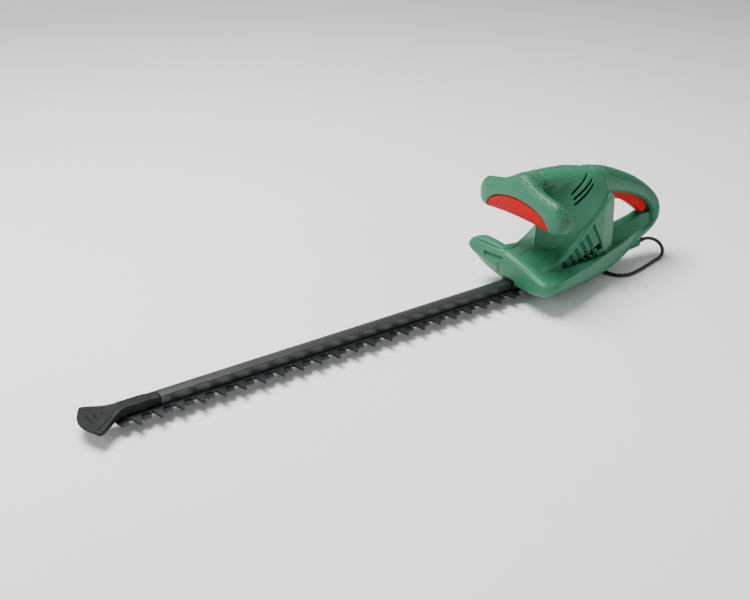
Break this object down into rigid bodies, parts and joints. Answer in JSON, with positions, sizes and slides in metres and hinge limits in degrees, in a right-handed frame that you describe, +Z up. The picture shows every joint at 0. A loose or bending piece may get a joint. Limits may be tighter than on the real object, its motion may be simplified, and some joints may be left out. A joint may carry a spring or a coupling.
{
  "type": "hedge trimmer",
  "caption": "Corded electric hedge trimmer with a single-sided reciprocating blade, T-shaped front handle with switch bar, loop rear handle with trigger, hand guard and lead.",
  "frame": {"origin": "centre of the bottom of the machine's bounding box, on the surface it stands on", "axes": "+X from the blade tip to the rear handle, +Y to the user's left when facing the tip, +Z up"},
  "size_m": [0.8799, 0.163, 0.174],
  "materials": {
    "housing_green": "satin moulded",
    "grip_green": "dimpled grip texture",
    "switch_red": "smooth",
    "black_plastic": "satin moulded",
    "rail_black": "black satin",
    "blade_steel": "ground, darkened",
    "machined_steel": "machined",
    "plated_pin": "plated",
    "copper": "enamelled copper",
    "cast_alloy": "die cast",
    "carbon": "dull",
    "capacitor_shell": "smooth",
    "cord_rubber": "matt"
  },
  "bodies": {
    "machine": {"housing_left": "housing_green", "housing_right": "housing_green", "housing_screw_1": "machined_steel", "housing_screw_2": "machined_steel", "housing_screw_3": "machined_steel", "housing_screw_4": "machined_steel", "housing_screw_5": "machined_steel", "base_cover": "housing_green", "hand_guard": "housing_green", "front_handle_shell": "housing_green", "front_handle_grip": "grip_green", "front_switch": "black_plastic", "trigger_pin": "machined_steel", "rear_switch": "black_plastic", "capacitor": "capacitor_shell", "fixed_comb": "blade_steel", "guide_rail": "rail_black", "blade_bolt_1": "machined_steel", "blade_bolt_2": "machined_steel", "blade_bolt_3": "machined_steel", "blade_bolt_4": "machined_steel", "blade_bolt_5": "machined_steel", "rail_bracket": "black_plastic", "tip_guard": "black_plastic", "gear_case": "cast_alloy", "gear_bearing": "machined_steel", "lower_bearing": "machined_steel", "upper_bearing": "machined_steel", "motor_stator": "machined_steel", "field_coil_left": "copper", "field_coil_right": "copper", "motor_bracket": "black_plastic", "brush_holder_left": "cast_alloy", "carbon_brush_left": "carbon", "brush_holder_right": "cast_alloy", "carbon_brush_right": "carbon", "strain_relief": "cord_rubber", "cord_clamp": "black_plastic", "mains_cord": "cord_rubber", "plug_body": "cord_rubber", "plug_pin_1": "plated_pin", "plug_pin_2": "plated_pin"},
    "cutter": {"moving_blade": "blade_steel", "drive_yoke": "machined_steel", "yoke_rivet_1": "machined_steel", "yoke_rivet_2": "machined_steel"},
    "gear": {"drive_gear": "machined_steel", "gear_shaft": "machined_steel", "crank_pin": "machined_steel", "crank_roller": "machined_steel"},
    "rotor": {"motor_shaft": "machined_steel", "pinion": "machined_steel", "cooling_fan": "black_plastic", "armature_core": "machined_steel", "armature_winding_lower": "copper", "armature_winding_upper": "copper", "commutator": "copper"},
    "switch_bar": {"front_switch_bar": "switch_red"},
    "trigger": {"rear_trigger": "switch_red"}
  },
  "joints": [
    {"name": "blade_slide", "type": "slide", "parent": "machine", "child": "cutter", "axis": [1, 0, 0], "range_m": [-0.008, 0.008]},
    {"name": "gear_spin", "type": "hinge", "parent": "machine", "child": "gear", "pos_m": [0.2215, 0, 0.014], "axis": [0, 0, 1], "continuous": true},
    {"name": "motor_spin", "type": "hinge", "parent": "machine", "child": "rotor", "pos_m": [0.2665, 0, 0.014], "axis": [0, 0, 1], "continuous": true},
    {"name": "switch_bar_press", "type": "slide", "parent": "machine", "child": "switch_bar", "axis": [1, 0, 0], "range_m": [0, 0.0035], "stiffness_N_per_m": 1500, "springref_m": -0.001},
    {"name": "trigger_press", "type": "hinge", "parent": "machine", "child": "trigger", "pos_m": [0.3235, 0, 0.1175], "axis": [0, -1, 0], "range_deg": [0, 4.5], "stiffness_Nm_per_rad": 8, "springref_deg": -1.72}
  ],
  "couplings": [
    {"joint": "motor_spin", "follows": "gear_spin", "ratio": -5}
  ]
}
